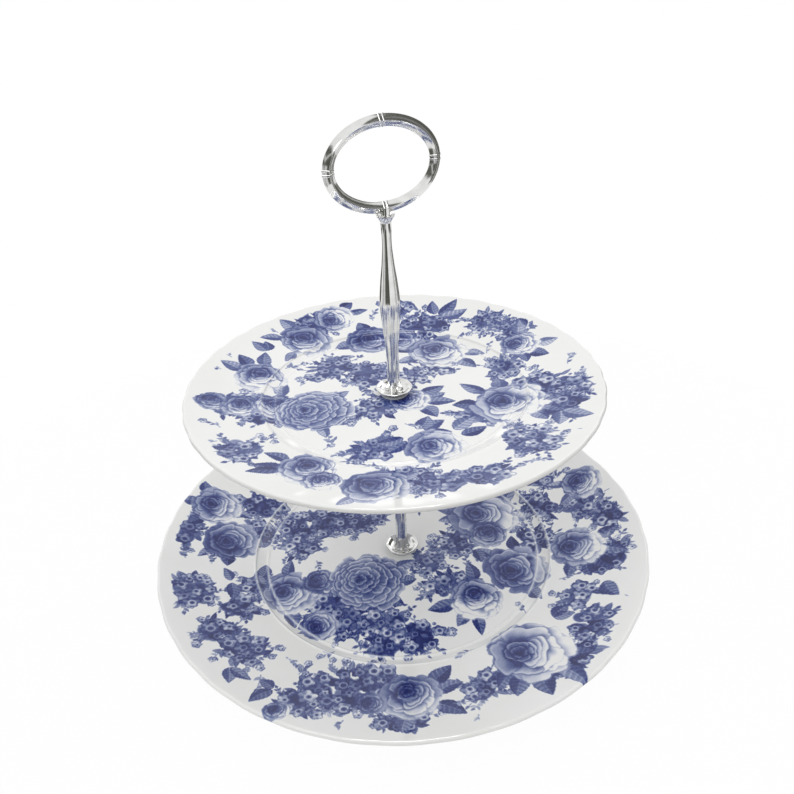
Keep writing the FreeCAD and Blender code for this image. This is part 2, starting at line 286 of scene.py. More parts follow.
def make_plain(name, tone, dark, light, spread, finish, rough, relief, depth, metal):
    """A material of one stuff. tone, finish and relief are noises, as (features a metre,
    detail, stretch)."""
    paint = Paint(name)
    noises = {grain: paint.noise(*grain) for grain in (tone, finish, relief)}
    paint.set(Base_Color=paint.tones(noises[tone], dark, light, spread),
              Roughness=paint.span(noises[finish], 0.3, 0.7, *rough), Metallic=metal)
    paint.bump(noises[relief], depth)
    return paint.material


TOOL_MARKS = (900, 4.0, (0.4, 0.4, 6.0))
DUST = (800, 5.0)
MATERIALS = {
    "china": make_china(),
    "chrome_plate": make_plain("chrome", (220, 4.0), (218, 218, 216), (231, 231, 230), 0.15,
                               (600, 4.0, (1, 1, 0.15)), (0.09, 0.14), (420, 2.0), 0.000012, 1.0),
    "steel": make_plain("turned_steel", TOOL_MARKS, (150, 151, 152), (190, 190, 188), 0.2,
                        TOOL_MARKS, (0.24, 0.42), TOOL_MARKS, 0.00002, 1.0),
    "soft_plastic": make_plain("soft_plastic", DUST, (196, 197, 194), (216, 217, 214), 0.2,
                               DUST, (0.5, 0.7), DUST, 0.00003, 0.0)}


# ---- the printed pattern: ink painted shape by shape ----
# Sizes are millimetres on the plate, seen from above. Ink runs from 0, bare
# glaze, to 1, the darkest blue.
LINE = 0.20                     # half-width of a drawn outline
SOFT = 0.42                     # how far an edge of the print fades
TENDRILS, OUTER_LEAVES, INNER_LEAVES, BERRIES = 0.34, 0.42, 0.3, 0.25   # a millimetre of bunch
SHADOW_AREA, FLORET_AREA = 16.0, 10.0   # square millimetres of a bunch for each one
FLORET_SIZES = (2.7, 4.5)
FLORET_GAP = 0.72               # of two florets' radii; nearer ones are left out


class Sheet:
    """Points of a plate that take ink, or the few of them near one motif."""

    def __init__(self, x, y, ink, reach, rows=None):
        self.x = x
        self.y = y
        self.ink = ink
        self.reach = reach              # small motifs stay this near the plate's middle
        self.rows = rows

    def near(self, cx, cy, reach):
        """A sheet of the points round a place."""
        rows = np.flatnonzero((abs(self.x - cx) < reach) & (abs(self.y - cy) < reach))
        return Sheet(self.x[rows], self.y[rows], self.ink[rows], self.reach, rows)

    def holds(self, x, y):
        return math.hypot(x, y) < self.reach

    def keep(self, patch):
        """Takes the ink of a patch over."""
        self.ink[patch.rows] = patch.ink

    def away(self, x, y):
        """How far each point lies from a place."""
        return np.hypot(self.x - x, self.y - y)

    def lay(self, depth, tone, strength=1.0, soft=SOFT):
        """Covers what lies inside a shape; depth is the distance in from its edge."""
        cover = ramp(depth / soft + 0.5) * strength
        self.ink += (tone - self.ink) * cover

    def frame(self, cx, cy, angle):
        """Coordinates along and across a direction, from a point."""
        dx = self.x - cx
        dy = self.y - cy
        along = dx * math.cos(angle) + dy * math.sin(angle)
        across = dy * math.cos(angle) - dx * math.sin(angle)
        return along, across


def petal(patch, cx, cy, angle, length, width, base, tip, rng, ruffle, line, lip):
    """A rounded petal, wider at its tip, dark where it leaves the flower and with a
    turned-back pale lip."""
    along, across = patch.frame(cx, cy, angle)
    u = along / length
    v = across / width
    spread = np.clip(1.0 + 0.30 * u, 0.5, 1.4)
    reach = np.hypot(u, v / spread)
    turn = np.arctan2(v, u)
    phase = rng.uniform(0, 2 * math.pi)
    notch = (1 - abs(np.sin(2.5 * turn + 1.7 * phase))) ** 2
    edge = 1 + ruffle * (np.sin(3 * turn + phase) + 0.5 * np.sin(7 * turn + 2.3 * phase) - 1.2 * notch)
    depth = (edge - reach) * min(length, width)
    lean = 0.35 * math.sin(phase)
    outward = ramp((u + lean * v + 0.75) / 1.5)
    hatch = 0.11 * np.sin(13 * v / spread + 3.0 * u + phase) * (1.15 - outward)
    fold = 0.18 * np.exp(-((v - 0.5 * math.cos(phase)) / 0.18) ** 2) * (1 - 0.8 * outward)
    tone = base + (tip - base) * outward + hatch + fold
    fringe = np.exp(-((depth - 0.06 * length) / (0.09 * length + 0.12)) ** 2) * ramp((u + 0.45) / 0.8)
    tone = tone * (1 - lip * fringe)
    patch.lay(depth + 0.7, line, 0.6 * (patch.ink > 0.12), 1.6)
    patch.lay(depth + 1.2 * LINE, line, 0.55, 0.7)
    patch.lay(depth, np.clip(tone, 0.0, 1.0))


def whorl(patch, cx, cy, radius, turn, count, distance, size, base, tip, rng, ruffle, line, lip=0.6,
          lit=None):
    """One ring of petals round a flower's middle, paler towards a lit side. distance and
    size are shares of the flower's radius."""
    for i in rng.permutation(count):
        angle = turn + 2 * math.pi * (i + rng.uniform(-0.22, 0.22)) / count
        out = distance * radius * rng.uniform(0.9, 1.1)
        length = size * radius * rng.uniform(0.85, 1.15)
        shade = rng.uniform(-0.10, 0.10)
        if lit is not None:
            shade -= 0.15 * math.cos(angle - lit)
        petal(patch, cx + out * math.cos(angle), cy + out * math.sin(angle), angle,
              length, length * rng.uniform(1.05, 1.5), base + shade, tip + shade, rng, ruffle,
              line + shade, lip)


def rose(sheet, cx, cy, radius, tone, rng, pale):
    """A blown rose that looks aside: ruffled guard petals, a cup whose near lip catches
    the light and a dark heart set off the middle. pale bleaches the guards."""
    patch = sheet.near(cx, cy, 1.6 * radius)
    turn = rng.uniform(0, 2 * math.pi)
    face = rng.uniform(1.1, 3.3)
    lit = face + math.pi + rng.uniform(-0.4, 0.4)
    guard = tone * (1 - 0.22 * pale)
    tip = max(0.04, tone - 0.38 - 0.10 * pale)
    line = 0.70 - 0.14 * pale

    def middle(share):
        return cx + share * radius * math.cos(face), cy + share * radius * math.sin(face)

    whorl(patch, cx, cy, radius, turn, 8, 0.66, 0.36, guard + 0.40, tip + 0.08, rng, 0.12,
          line - 0.1, 0.25, lit)
    x, y = middle(0.06)
    whorl(patch, x, y, radius, turn + 0.5, 6, 0.46, 0.38, guard + 0.46, tip + 0.06, rng, 0.10,
          line, 0.6, lit)
    x, y = middle(0.14)
    patch.lay(0.50 * radius - patch.away(x, y), min(1.0, tone + 0.26), 0.85, 0.22 * radius)
    for step, (out, size, wide) in enumerate(((0.16, 0.44, 1.25), (0.08, 0.37, 1.2), (0.02, 0.30, 1.15))):
        heading = lit + rng.uniform(-0.5, 0.5)
        size *= radius
        petal(patch, x + out * radius * math.cos(heading), y + out * radius * math.sin(heading), heading,
              size, wide * size, min(1.0, tone + 0.38), max(0.04, tip + 0.05 * step), rng, 0.07,
              line + 0.1, 0.6)
    x, y = middle(0.26)
    patch.lay(0.30 * radius - patch.away(x, y), min(1.0, tone + 0.34), 0.9, 0.16 * radius)
    whorl(patch, x, y, radius, turn + 1.1, 4, 0.15, 0.20, tone + 0.42, tone - 0.10, rng, 0.06,
          0.9, 0.6, lit)
    whorl(patch, x, y, radius, turn + 0.3, 3, 0.06, 0.13, tone + 0.48, tone - 0.02, rng, 0.05, 0.95, 0.5)
    # The side the flower looks to lies in shade.
    along, _ = patch.frame(cx, cy, face)
    inside = (patch.away(cx, cy) < 1.15 * radius) * (patch.ink > 0.02)
    patch.ink += ramp(along / radius * 0.6 + 0.35) * 0.28 * inside * (1 - patch.ink) * (1 - 0.4 * pale)
    patch.ink *= 1 - 0.30 * ramp(-along / radius * 0.8) * inside * (patch.ink < 0.75)
    deep = np.exp(-(patch.away(x, y) / (0.30 * radius)) ** 2)
    patch.ink += 0.34 * deep * (1 - patch.ink)
    sheet.keep(patch)


def peony(sheet, cx, cy, radius, tone, rng):
    """A full flower of many rows of petals that fan to one side."""
    patch = sheet.near(cx, cy, 1.5 * radius)
    turn = rng.uniform(0, 2 * math.pi)
    rings = ((10, 0.84, 0.22), (9, 0.70, 0.25), (9, 0.56, 0.25), (8, 0.43, 0.24),
             (7, 0.30, 0.21), (5, 0.18, 0.17), (3, 0.08, 0.13))
    for step, (count, distance, size) in enumerate(rings):
        shift = 0.035 * step * radius
        deeper = 0.02 * step
        whorl(patch, cx - shift, cy + 0.8 * shift, radius, turn + 0.37 * step, count, distance, size,
              tone + 0.30 + deeper, tone - 0.20 + deeper, rng, 0.10, 0.70)
    sheet.keep(patch)


def leaf(sheet, x, y, angle, length, width, tone, rng):
    """A toothed leaf from its stalk: one half in shade, a pale midrib, soft veins."""
    patch = sheet.near(x, y, 1.25 * length + 1.0)
    along, across = patch.frame(x, y, angle)
    bend = rng.uniform(0.04, 0.16) * rng.choice((-1, 1))
    u = along / length
    v = across / width - bend * np.sin(math.pi * np.clip(u, 0, 1))
    inside = np.clip(u, 0.0, 1.0)
    teeth = 1 - 0.08 * (1 - (inside * 7) % 1.0)
    half = 0.5 * np.sin(math.pi * inside ** 0.75) ** 0.9 * teeth
    depth = np.minimum(half - abs(v), 0.5) * width - 4.0 * np.maximum(abs(u - 0.5) - 0.5, 0) * length
    lit = rng.choice((-1, 1))
    side = ramp(0.5 + 2.5 * v * lit)
    body = tone + 0.14 - 0.34 * side * rng.uniform(0.5, 1.0)
    vein = np.exp(-(((inside * 6 - 1.9 * abs(v)) % 1.0 - 0.5) / 0.16) ** 2) * ramp(half * 4)
    rib = np.exp(-(v * width / 0.25) ** 2)
    body = body - (0.10 + 0.12 * side) * vein - 0.25 * rib
    edge = np.exp(-(depth / 0.4) ** 2)
    patch.lay(depth, np.clip(body + 0.20 * edge, 0.05, 1.0))
    sheet.keep(patch)


def floret(patch, cx, cy, radius, tone, rng, ring_tone=0.12):
    """A small open flower: round petals in shade, a paler ring and a dark eye."""
    turn = rng.uniform(0, 2 * math.pi)
    squeeze = rng.uniform(0.75, 1.0)
    along, across = patch.frame(cx, cy, turn)
    away = np.hypot(along, across / squeeze)
    heading = np.arctan2(across, along)
    edge = radius * (1 + 0.13 * np.cos(5 * heading) + 0.06 * np.cos(3 * heading + turn))
    depth = edge - away
    shade = tone + 0.22 * np.cos(heading - 1.0) + 0.12 * np.cos(5 * heading + math.pi)
    patch.lay(depth + 1.4 * LINE, min(1.0, tone + 0.38))
    patch.lay(depth, np.clip(shade, 0.0, 1.0))
    off = 0.12 * radius
    inner = patch.away(cx + off, cy - off)
    patch.lay(rng.uniform(0.48, 0.60) * radius - inner, ring_tone, 0.85, 0.8)
    patch.lay(0.36 * radius - inner, tone * 0.9 + 0.1)
    patch.lay(0.20 * radius - inner, 0.92)


def berry(patch, cx, cy, radius, tone):
    """A round bud with a light on it."""
    light = patch.away(cx - 0.35 * radius, cy + 0.35 * radius) / (0.45 * radius)
    patch.lay(radius - patch.away(cx, cy), np.clip(tone - 0.45 * np.exp(-light ** 2), 0, 1))


def spike(patch, x, y, angle, length, width, tone):
    """A small plain leaf."""
    along, across = patch.frame(x, y, angle)
    u = np.clip(along / length, 0.0, 1.0)
    half = 0.5 * width * np.sin(math.pi * u ** 0.75)
    depth = half - abs(across) - 3.0 * np.maximum(abs(along / length - 0.5) - 0.5, 0) * length
    patch.lay(depth, np.clip(tone - 0.2 * np.exp(-(across / 0.2) ** 2), 0, 1))


def tendril(patch, x, y, angle, length, tone, rng):
    """A thin curved stalk with a few small leaves or a tiny flower at its tip."""
    steps = max(4, int(length / 1.8))
    pace = length / steps
    bend = rng.uniform(-1.0, 1.0) / steps
    for i in range(steps):
        if not patch.holds(x, y):
            return
        spike(patch, x, y, angle, 1.3 * pace, 0.6, tone)
        for side in (-1, 1):
            if i and rng.uniform() < 0.62:
                spike(patch, x, y, angle + side * rng.uniform(0.5, 1.1), rng.uniform(2.0, 4.0),
                      rng.uniform(1.1, 1.9), tone + rng.uniform(-0.15, 0.25))
        x += pace * math.cos(angle)
        y += pace * math.sin(angle)
        angle += bend
    if rng.uniform() < 0.5:
        spike(patch, x, y, angle, rng.uniform(2.4, 4.0), rng.uniform(1.3, 2.0), tone + 0.15)
    else:
        floret(patch, x, y, rng.uniform(1.4, 2.2), tone - 0.2, rng)


def cluster(sheet, cx, cy, reach_x, reach_y, tone, rng, turn):
    """A bunch of small flowers on a dark mass, with leaves and stalks round its edge."""
    reach = max(reach_x, reach_y)
    patch = sheet.near(cx, cy, 1.5 * reach + 10)
    around = reach_x + reach_y
    area = math.pi * reach_x * reach_y
    blooms = []

    def place(share):
        angle = rng.uniform(0, 2 * math.pi)
        px = share * reach_x * math.cos(angle)
        py = share * reach_y * math.sin(angle)
        x = cx + px * math.cos(turn) - py * math.sin(turn)
        y = cy + px * math.sin(turn) + py * math.cos(turn)
        away = max(1.0, math.hypot(x, y) / (sheet.reach - 2))
        return x / away, y / away

    for _ in range(int(TENDRILS * around) + 2):
        x, y = place(0.7)
        away = math.atan2(y - cy, x - cx) + rng.uniform(-0.6, 0.6)
        tendril(patch, x, y, away, rng.uniform(5.0, 11.0), rng.uniform(0.42, 0.7), rng)
    for _ in range(int(OUTER_LEAVES * around)):
        x, y = place(rng.uniform(0.6, 0.9))
        away = math.atan2(y - cy, x - cx) + rng.uniform(-0.8, 0.8)
        spike(patch, x, y, away, rng.uniform(4.5, 8.0), rng.uniform(2.2, 3.6), rng.uniform(0.5, 0.95))
    for _ in range(int(area / SHADOW_AREA) + 3):
        x, y = place(math.sqrt(rng.uniform(0.0, 0.62)))
        away = np.hypot(patch.x - x, (patch.y - y) * rng.uniform(0.8, 1.25))
        patch.lay(rng.uniform(2.2, 3.6) - away, min(1.0, tone + rng.uniform(-0.10, 0.32)), 0.8, 1.2)
    for _ in range(int(INNER_LEAVES * around)):
        x, y = place(math.sqrt(rng.uniform(0.0, 1.0)))
        spike(patch, x, y, rng.uniform(0, 2 * math.pi), rng.uniform(3.4, 6.0), rng.uniform(1.9, 3.0),
              min(1.0, tone + rng.uniform(-0.25, 0.35)))
    for _ in range(int(area / FLORET_AREA) + 4):
        share = math.sqrt(rng.uniform(0.0, 1.0))
        x, y = place(share)
        size = rng.uniform(*FLORET_SIZES)
        if any(math.hypot(x - bx, y - by) < FLORET_GAP * (size + other) for bx, by, other in blooms):
            continue
        blooms.append((x, y, size))
        outer = share > 0.72 or rng.uniform() < 0.15
        body = tone + (rng.uniform(-0.32, -0.06) if outer else rng.uniform(-0.12, 0.18))
        floret(patch, x, y, size, body, rng, rng.uniform(0.05, 0.2) if outer else rng.uniform(0.24, 0.5))
    for _ in range(int(BERRIES * around)):
        x, y = place(rng.uniform(0.85, 1.15))
        berry(patch, x, y, rng.uniform(0.7, 1.2), rng.uniform(0.5, 0.9))
    sheet.keep(patch)


def sprig(sheet, x, y, angle, length, tone, rng):
    """A tendril on its own."""
    patch = sheet.near(x, y, length + 6)
    tendril(patch, x, y, angle, length, tone, rng)
    sheet.keep(patch)


def leaves(sheet, cx, cy, gap, length, width, degrees, tone, rng):
    """Leaves standing out from a flower, at the given headings."""
    for heading in degrees:
        angle = math.radians(heading)
        leaf(sheet, cx + gap * math.cos(angle), cy + gap * math.sin(angle),
             angle + rng.uniform(-0.3, 0.3), length * rng.uniform(0.8, 1.2),
             width * rng.uniform(0.8, 1.15), tone + rng.uniform(-0.24, 0.1), rng)


# ---- the two patterns ----
# Where the motifs lie, from the back of the print to its front. cluster_growth swells
# the bunches across and up; cluster_tone and rose_tone add to the tones in the rows.
LOWER_PATTERN = dict(
    seed=7, cluster_growth=(1.06, 1.08), cluster_tone=0.09, sprig_tone=0.55,
    rose_growth=1.06, rose_tone=0.08, heart=(-28, -15, 20, 0.62),
    clusters=(                   # x, y, across, up, turn, tone
        (-113, 58, 9, 9, 0, 0.62), (-64, 70, 14, 7, -0.5, 0.75), (-38, 44, 24, 11, -0.35, 0.66),
        (-12, 33, 13, 8, -0.2, 0.68), (-52, 29, 7, 9, 0, 0.6), (-50, -30, 19, 15, 0, 0.62),
        (-34, -46, 12, 8, 0.1, 0.55), (-20, -62, 10, 7, 0.2, 0.7), (10, -38, 12, 7, 0, 0.5),
        (31, -10, 14, 10, 0.2, 0.62), (88, -10, 7, 11, 0.2, 0.62), (72, -28, 7, 10, 0.3, 0.7),
        (108, -30, 9, 9, 0, 0.6), (113, -45, 9, 8, 0.3, 0.66), (55, -102, 10, 8, 0.4, 0.66),
        (-68, -78, 23, 13, -0.15, 0.66), (-91, -83, 9, 9, 0, 0.58), (-52, -110, 11, 8, 0.2, 0.66),
        (-117, 12, 9, 10, 0, 0.62), (-112, -21, 8, 8, 0, 0.66), (-103, -37, 10, 9, 0, 0.62),
        (-102, 84, 7, 6, 0.5, 0.6), (32, -117, 14, 7, 0.35, 0.85), (92, -70, 12, 6, 0.3, 0.8),
        (-84, 8, 8, 6, 0.4, 0.62), (-72, 48, 9, 8, 0.2, 0.66), (8, -18, 9, 7, 0.3, 0.56),
        (-38, -58, 9, 6, 0.2, 0.6), (-10, -108, 9, 6, 0.3, 0.62), (62, -82, 8, 6, 0.2, 0.62),
        (102, 12, 8, 9, 0.2, 0.66), (-98, -6, 7, 6, 0, 0.66), (70, 16, 8, 9, 0.1, 0.68),
        (-18, 68, 12, 8, 0.2, 0.62), (62, 92, 12, 8, -0.4, 0.64), (122, 50, 7, 8, 0, 0.6),
        (-52, 108, 11, 8, 0.5, 0.62), (20, 40, 15, 9, 0.2, 0.62), (75, 62, 14, 11, 0.6, 0.62),
        (-28, 92, 14, 9, 0.3, 0.62), (35, 108, 15, 9, -0.3, 0.64), (112, 30, 9, 13, 0.2, 0.64),
        (60, 30, 10, 8, 0, 0.6)),
    sprays=(                     # x, y, gap, length, width, headings, tone
        (-90, 75, 11, 11, 7, (100, 150, 215, 330), 0.72), (-88, 46, 12, 11, 7, (20, 200, 250, 340), 0.8),
        (-70, -3, 12, 12, 8, (75, 120, 250), 0.7), (-28, -15, 17, 12, 8, (330, 290, 10), 0.68),
        (18, -52, 11, 14, 8, (170, 215, 240, 60), 0.66), (50, -45, 14, 12, 8, (60, 120, 265, 20), 0.85),
        (57, 2, 17, 14, 9, (20, 145, 165, 330), 0.6), (37, -20, 1, 12, 7, (270,), 0.78),
        (85, -52, 12, 15, 9, (225, 255, 285, 315, 350), 0.85), (118, -12, 9, 11, 7, (135, 200, 270), 0.7),
        (20, -100, 16, 16, 10, (200, 225, 255, 285, 320), 0.82), (42, -88, 1, 13, 8, (20, 350), 0.6),
        (-42, -97, 12, 13, 9, (345, 20, 310, 240), 0.75), (-97, -68, 1, 11, 7, (120, 190), 0.75),
        (-97, 14, 1, 11, 7, (80, 260), 0.85), (-112, -47, 1, 11, 7, (240, 290), 0.85),
        (-80, 14, 1, 12, 7, (75,), 0.8), (78, -82, 1, 14, 9, (275,), 0.9),
        (30, 72, 16, 13, 8, (60, 120, 200, 330), 0.72), (95, 55, 12, 12, 8, (30, 110, 300), 0.78),
        (-5, 112, 12, 12, 8, (20, 160, 250), 0.72)),
    sprigs=(                     # x, y, heading, length
        (-90, 30, 150, 14), (-86, -8, 200, 12), (-86, -48, 300, 12), (-66, 18, 70, 12),
        (-28, -110, 330, 10), (-22, -122, 240, 9), (-48, 14, 260, 10), (-20, 18, 80, 9), (-104, 30, 60, 9),
        (-116, 36, 100, 8), (-124, 0, 170, 8), (-100, -56, 250, 10), (-84, -62, 40, 9), (0, -84, 160, 10),
        (34, -76, 60, 9), (110, 2, 20, 9), (122, -28, 350, 7), (100, -84, 330, 9), (60, -122, 300, 7),
        (-72, -106, 230, 9), (2, -30, 100, 12), (26, -32, 70, 12), (62, -66, 340, 14), (70, -60, 30, 10),
        (98, -64, 60, 12), (78, -98, 280, 8), (-75, -98, 220, 11), (-62, -52, 200, 9), (84, -30, 70, 9),
        (48, -88, 330, 12), (-124, -20, 170, 8), (104, 6, 80, 9), (50, 52, 100, 10), (-60, 98, 130, 11),
        (66, 96, 60, 11), (10, 60, 150, 9)),
    roses=(                      # x, y, radius, tone, pale
        (-90, 75, 13, 0.5, 0.6), (-88, 46, 14, 0.68, 0), (-70, -3, 14, 0.52, 0.7), (-52, -2, 8, 0.78, 0),
        (-63, -32, 9, 0.6, 0.2), (18, -54, 13, 0.42, 0.8), (50, -45, 16, 0.66, 0.1), (57, 2, 19, 0.52, 0.4),
        (50, -14, 10, 0.7, 0.1), (85, -52, 14, 0.52, 0.8), (118, -12, 11, 0.5, 0.6),
        (20, -100, 18, 0.46, 0.8), (-42, -97, 13, 0.55, 0.3), (-60, -93, 6, 0.7, 0),
        (-100, -82, 5, 0.45, 0.4), (30, 72, 17, 0.5, 0.5), (95, 55, 13, 0.62, 0.2),
        (-5, 112, 14, 0.52, 0.5)))

UPPER_PATTERN = dict(
    seed=11, cluster_growth=(1.05, 1.05), cluster_tone=0.07, sprig_tone=0.5,
    rose_growth=1.0, rose_tone=0.05, heart=(-42, 4, 18, 0.52),
    clusters=(                   # x, y, across, up, turn, tone
        (-78, 22, 12, 9, 0.2, 0.58), (-66, 12, 10, 11, 0, 0.6), (-85, -20, 9, 8, 0.2, 0.58),
        (-28, -72, 11, 9, 0.1, 0.74), (-18, -83, 9, 6, 0.1, 0.56), (0, -87, 10, 7, 0, 0.56),
        (32, -71, 10, 8, 0.3, 0.56), (34, -80, 7, 5, 0, 0.5), (-28, -40, 10, 7, 0.1, 0.56),
        (-12, -8, 11, 8, 0, 0.58), (-4, 22, 10, 12, 0, 0.62), (-18, 40, 14, 9, 0.3, 0.6),
        (45, 57, 14, 11, -0.4, 0.72), (42, 80, 7, 6, 0, 0.6), (30, 14, 8, 7, 0, 0.52),
        (78, 38, 11, 9, 0.2, 0.56), (62, -6, 9, 8, 0.4, 0.56), (68, -38, 11, 17, 0.2, 0.66),
        (27, -37, 8, 7, 0.3, 0.52), (84, 20, 9, 9, 0, 0.56), (-10, 86, 12, 9, 0.2, 0.68),
        (14, 10, 8, 7, 0, 0.48), (78, -48, 7, 6, 0, 0.5), (62, -58, 10, 6, 0.4, 0.72)),
    sprays=(                     # x, y, gap, length, width, headings, tone
        (-57, 45, 11, 13, 9, (100, 60, 130), 0.78), (-46, 68, 1, 10, 7, (80, 110), 0.78),
        (-52, 24, 1, 13, 8, (70,), 0.66), (-42, 4, 15, 10, 7, (260, 300, 20), 0.64),
        (-62, -45, 11, 13, 8, (120, 150, 165), 0.74), (-42, -72, 12, 11, 7, (15, 200), 0.72),
        (-8, -40, 6, 12, 8, (20, 50, 340, 200, 170), 0.64), (3, -48, 8, 14, 8, (350, 30), 0.64),
        (3, -10, 9, 13, 8, (350, 320, 290, 20), 0.66), (-22, 72, 13, 11, 8, (150, 100, 220), 0.74),
        (2, 87, 9, 11, 7, (40, 10, 170), 0.72), (15, 55, 13, 11, 8, (100, 160, 300), 0.82),
        (55, 60, 4, 15, 9, (55, 20, 350), 0.7), (40, 28, 13, 13, 8, (330, 290, 100, 175), 0.66),
        (80, 7, 9, 12, 8, (280, 320, 240, 60), 0.68), (45, -37, 15, 14, 9, (110, 80, 300, 280, 160), 0.66),
        (58, -60, 1, 15, 9, (240, 300), 0.72), (92, 18, 1, 8, 6, (80, 100), 0.66)),
    sprigs=(                     # x, y, heading, length
        (-74, 56, 160, 9), (-42, 50, 20, 12), (-32, -8, 300, 9), (-88, 2, 110, 10), (-20, 60, 130, 9),
        (-40, 30, 60, 9), (-8, -28, 290, 8), (30, -58, 60, 10), (24, -88, 200, 8), (72, -62, 20, 11),
        (86, -28, 60, 9), (60, 78, 60, 9), (-50, -30, 20, 9), (20, -88, 340, 8), (-20, 12, 160, 8),
        (62, 12, 60, 9), (-66, 66, 120, 9), (-84, 48, 170, 8), (-92, -10, 200, 7), (-76, -58, 220, 7),
        (-52, -84, 220, 7), (52, -80, 300, 8), (84, -54, 330, 7), (94, 30, 40, 7), (36, 88, 80, 8),
        (12, 34, 40, 9), (-44, -30, 100, 10), (-30, -56, 160, 9), (22, 76, 80, 10), (-66, -8, 250, 9),
        (-34, 84, 120, 9), (56, 34, 20, 8)),
    roses=(                      # x, y, radius, tone, pale
        (-57, 45, 13, 0.42, 0.9), (-86, 27, 8, 0.6, 0.1), (-74, 20, 9, 0.52, 0.3), (-58, 17, 10, 0.5, 0.4),
        (-62, -45, 12, 0.5, 0.8), (-42, -72, 14, 0.55, 0.3), (-4, -53, 13, 0.3, 0.9),
        (3, -10, 10, 0.52, 0.4), (-22, 72, 14, 0.54, 0.4), (2, 87, 11, 0.44, 0.8), (13, 58, 13, 0.72, 0),
        (28, 50, 10, 0.62, 0.1), (40, 28, 16, 0.42, 0.7), (80, 7, 10, 0.45, 0.7), (45, -37, 18, 0.42, 0.9),
        (-60, -58, 8, 0.26, 0.9)))


def print_pattern(sheet, seed, cluster_growth, cluster_tone, sprig_tone, rose_growth, rose_tone, heart,
                  clusters, sprays, sprigs, roses):
    """Prints a plate: bunches, leaves, sprigs, roses and last the peony."""
    rng = np.random.default_rng(seed)
    for x, y, across, up, turn, tone in clusters:
        cluster(sheet, x, y, cluster_growth[0] * across, cluster_growth[1] * up, tone + cluster_tone, rng,
                turn)
    for x, y, gap, length, width, headings, tone in sprays:
        leaves(sheet, x, y, gap, length, width, headings, tone, rng)
    for x, y, heading, length in sprigs:
        sprig(sheet, x, y, math.radians(heading), length, sprig_tone, rng)
    for x, y, radius, tone, pale in roses:
        rose(sheet, x, y, rose_growth * radius, tone + rose_tone, rng, pale)
    peony(sheet, *heart, rng)


# ---- plates ----
CHINA_THICKNESS = 3.5
RIM_THICKNESS = 2.6
VERGE_WIDTH = 5.0
VERGE_ROUNDING = 0.7            # how far a bend at the verge reaches to either side
VERGE_SAMPLES = 15              # heights averaged to round it
VERGE_LINE_SPREAD = 0.6         # how far the raised lines at the verge reach
HOLE_RADIUS = 4.0
HOLE_ROUNDING = 0.25
SCALLOPS = 36
SCALLOP_DEPTH = 0.32
SCALLOP_POINT = 1.4             # past 1, the dips are narrower than the crests between
SCALLOP_REACH = 9.0             # how far the scalloped edge reaches inwards
RIM_SPARE = 0.2                 # crests past the nominal radius
FLUTE_FALL = 0.27               # how far the rim dips between two crests
FOOT_RING_WIDTH = 4.5
FOOT_TAPER = 0.9
SMALL_MOTIFS = 8.0              # how far small motifs stay from the rim
FINE, MEDIUM, COARSE = 2048, 1024, 512      # points in a ring
TOP_ISLAND = (0.457, 0.457, 0.452)      # middle and radius in the bake's square
BASE_ISLAND = (0.878, 0.878, 0.118)


def spokes(radius):
    """Points in a ring of the top, so that they stay about as far apart everywhere."""
    return COARSE if radius < 22 else MEDIUM if radius < 66 else FINE


def raised_lines(well):
    """(radius, rise) of two fine lines, where the well ends and where the lip begins."""
    return (well - 1.3, 0.60), (well + VERGE_WIDTH + 0.4, 0.74)


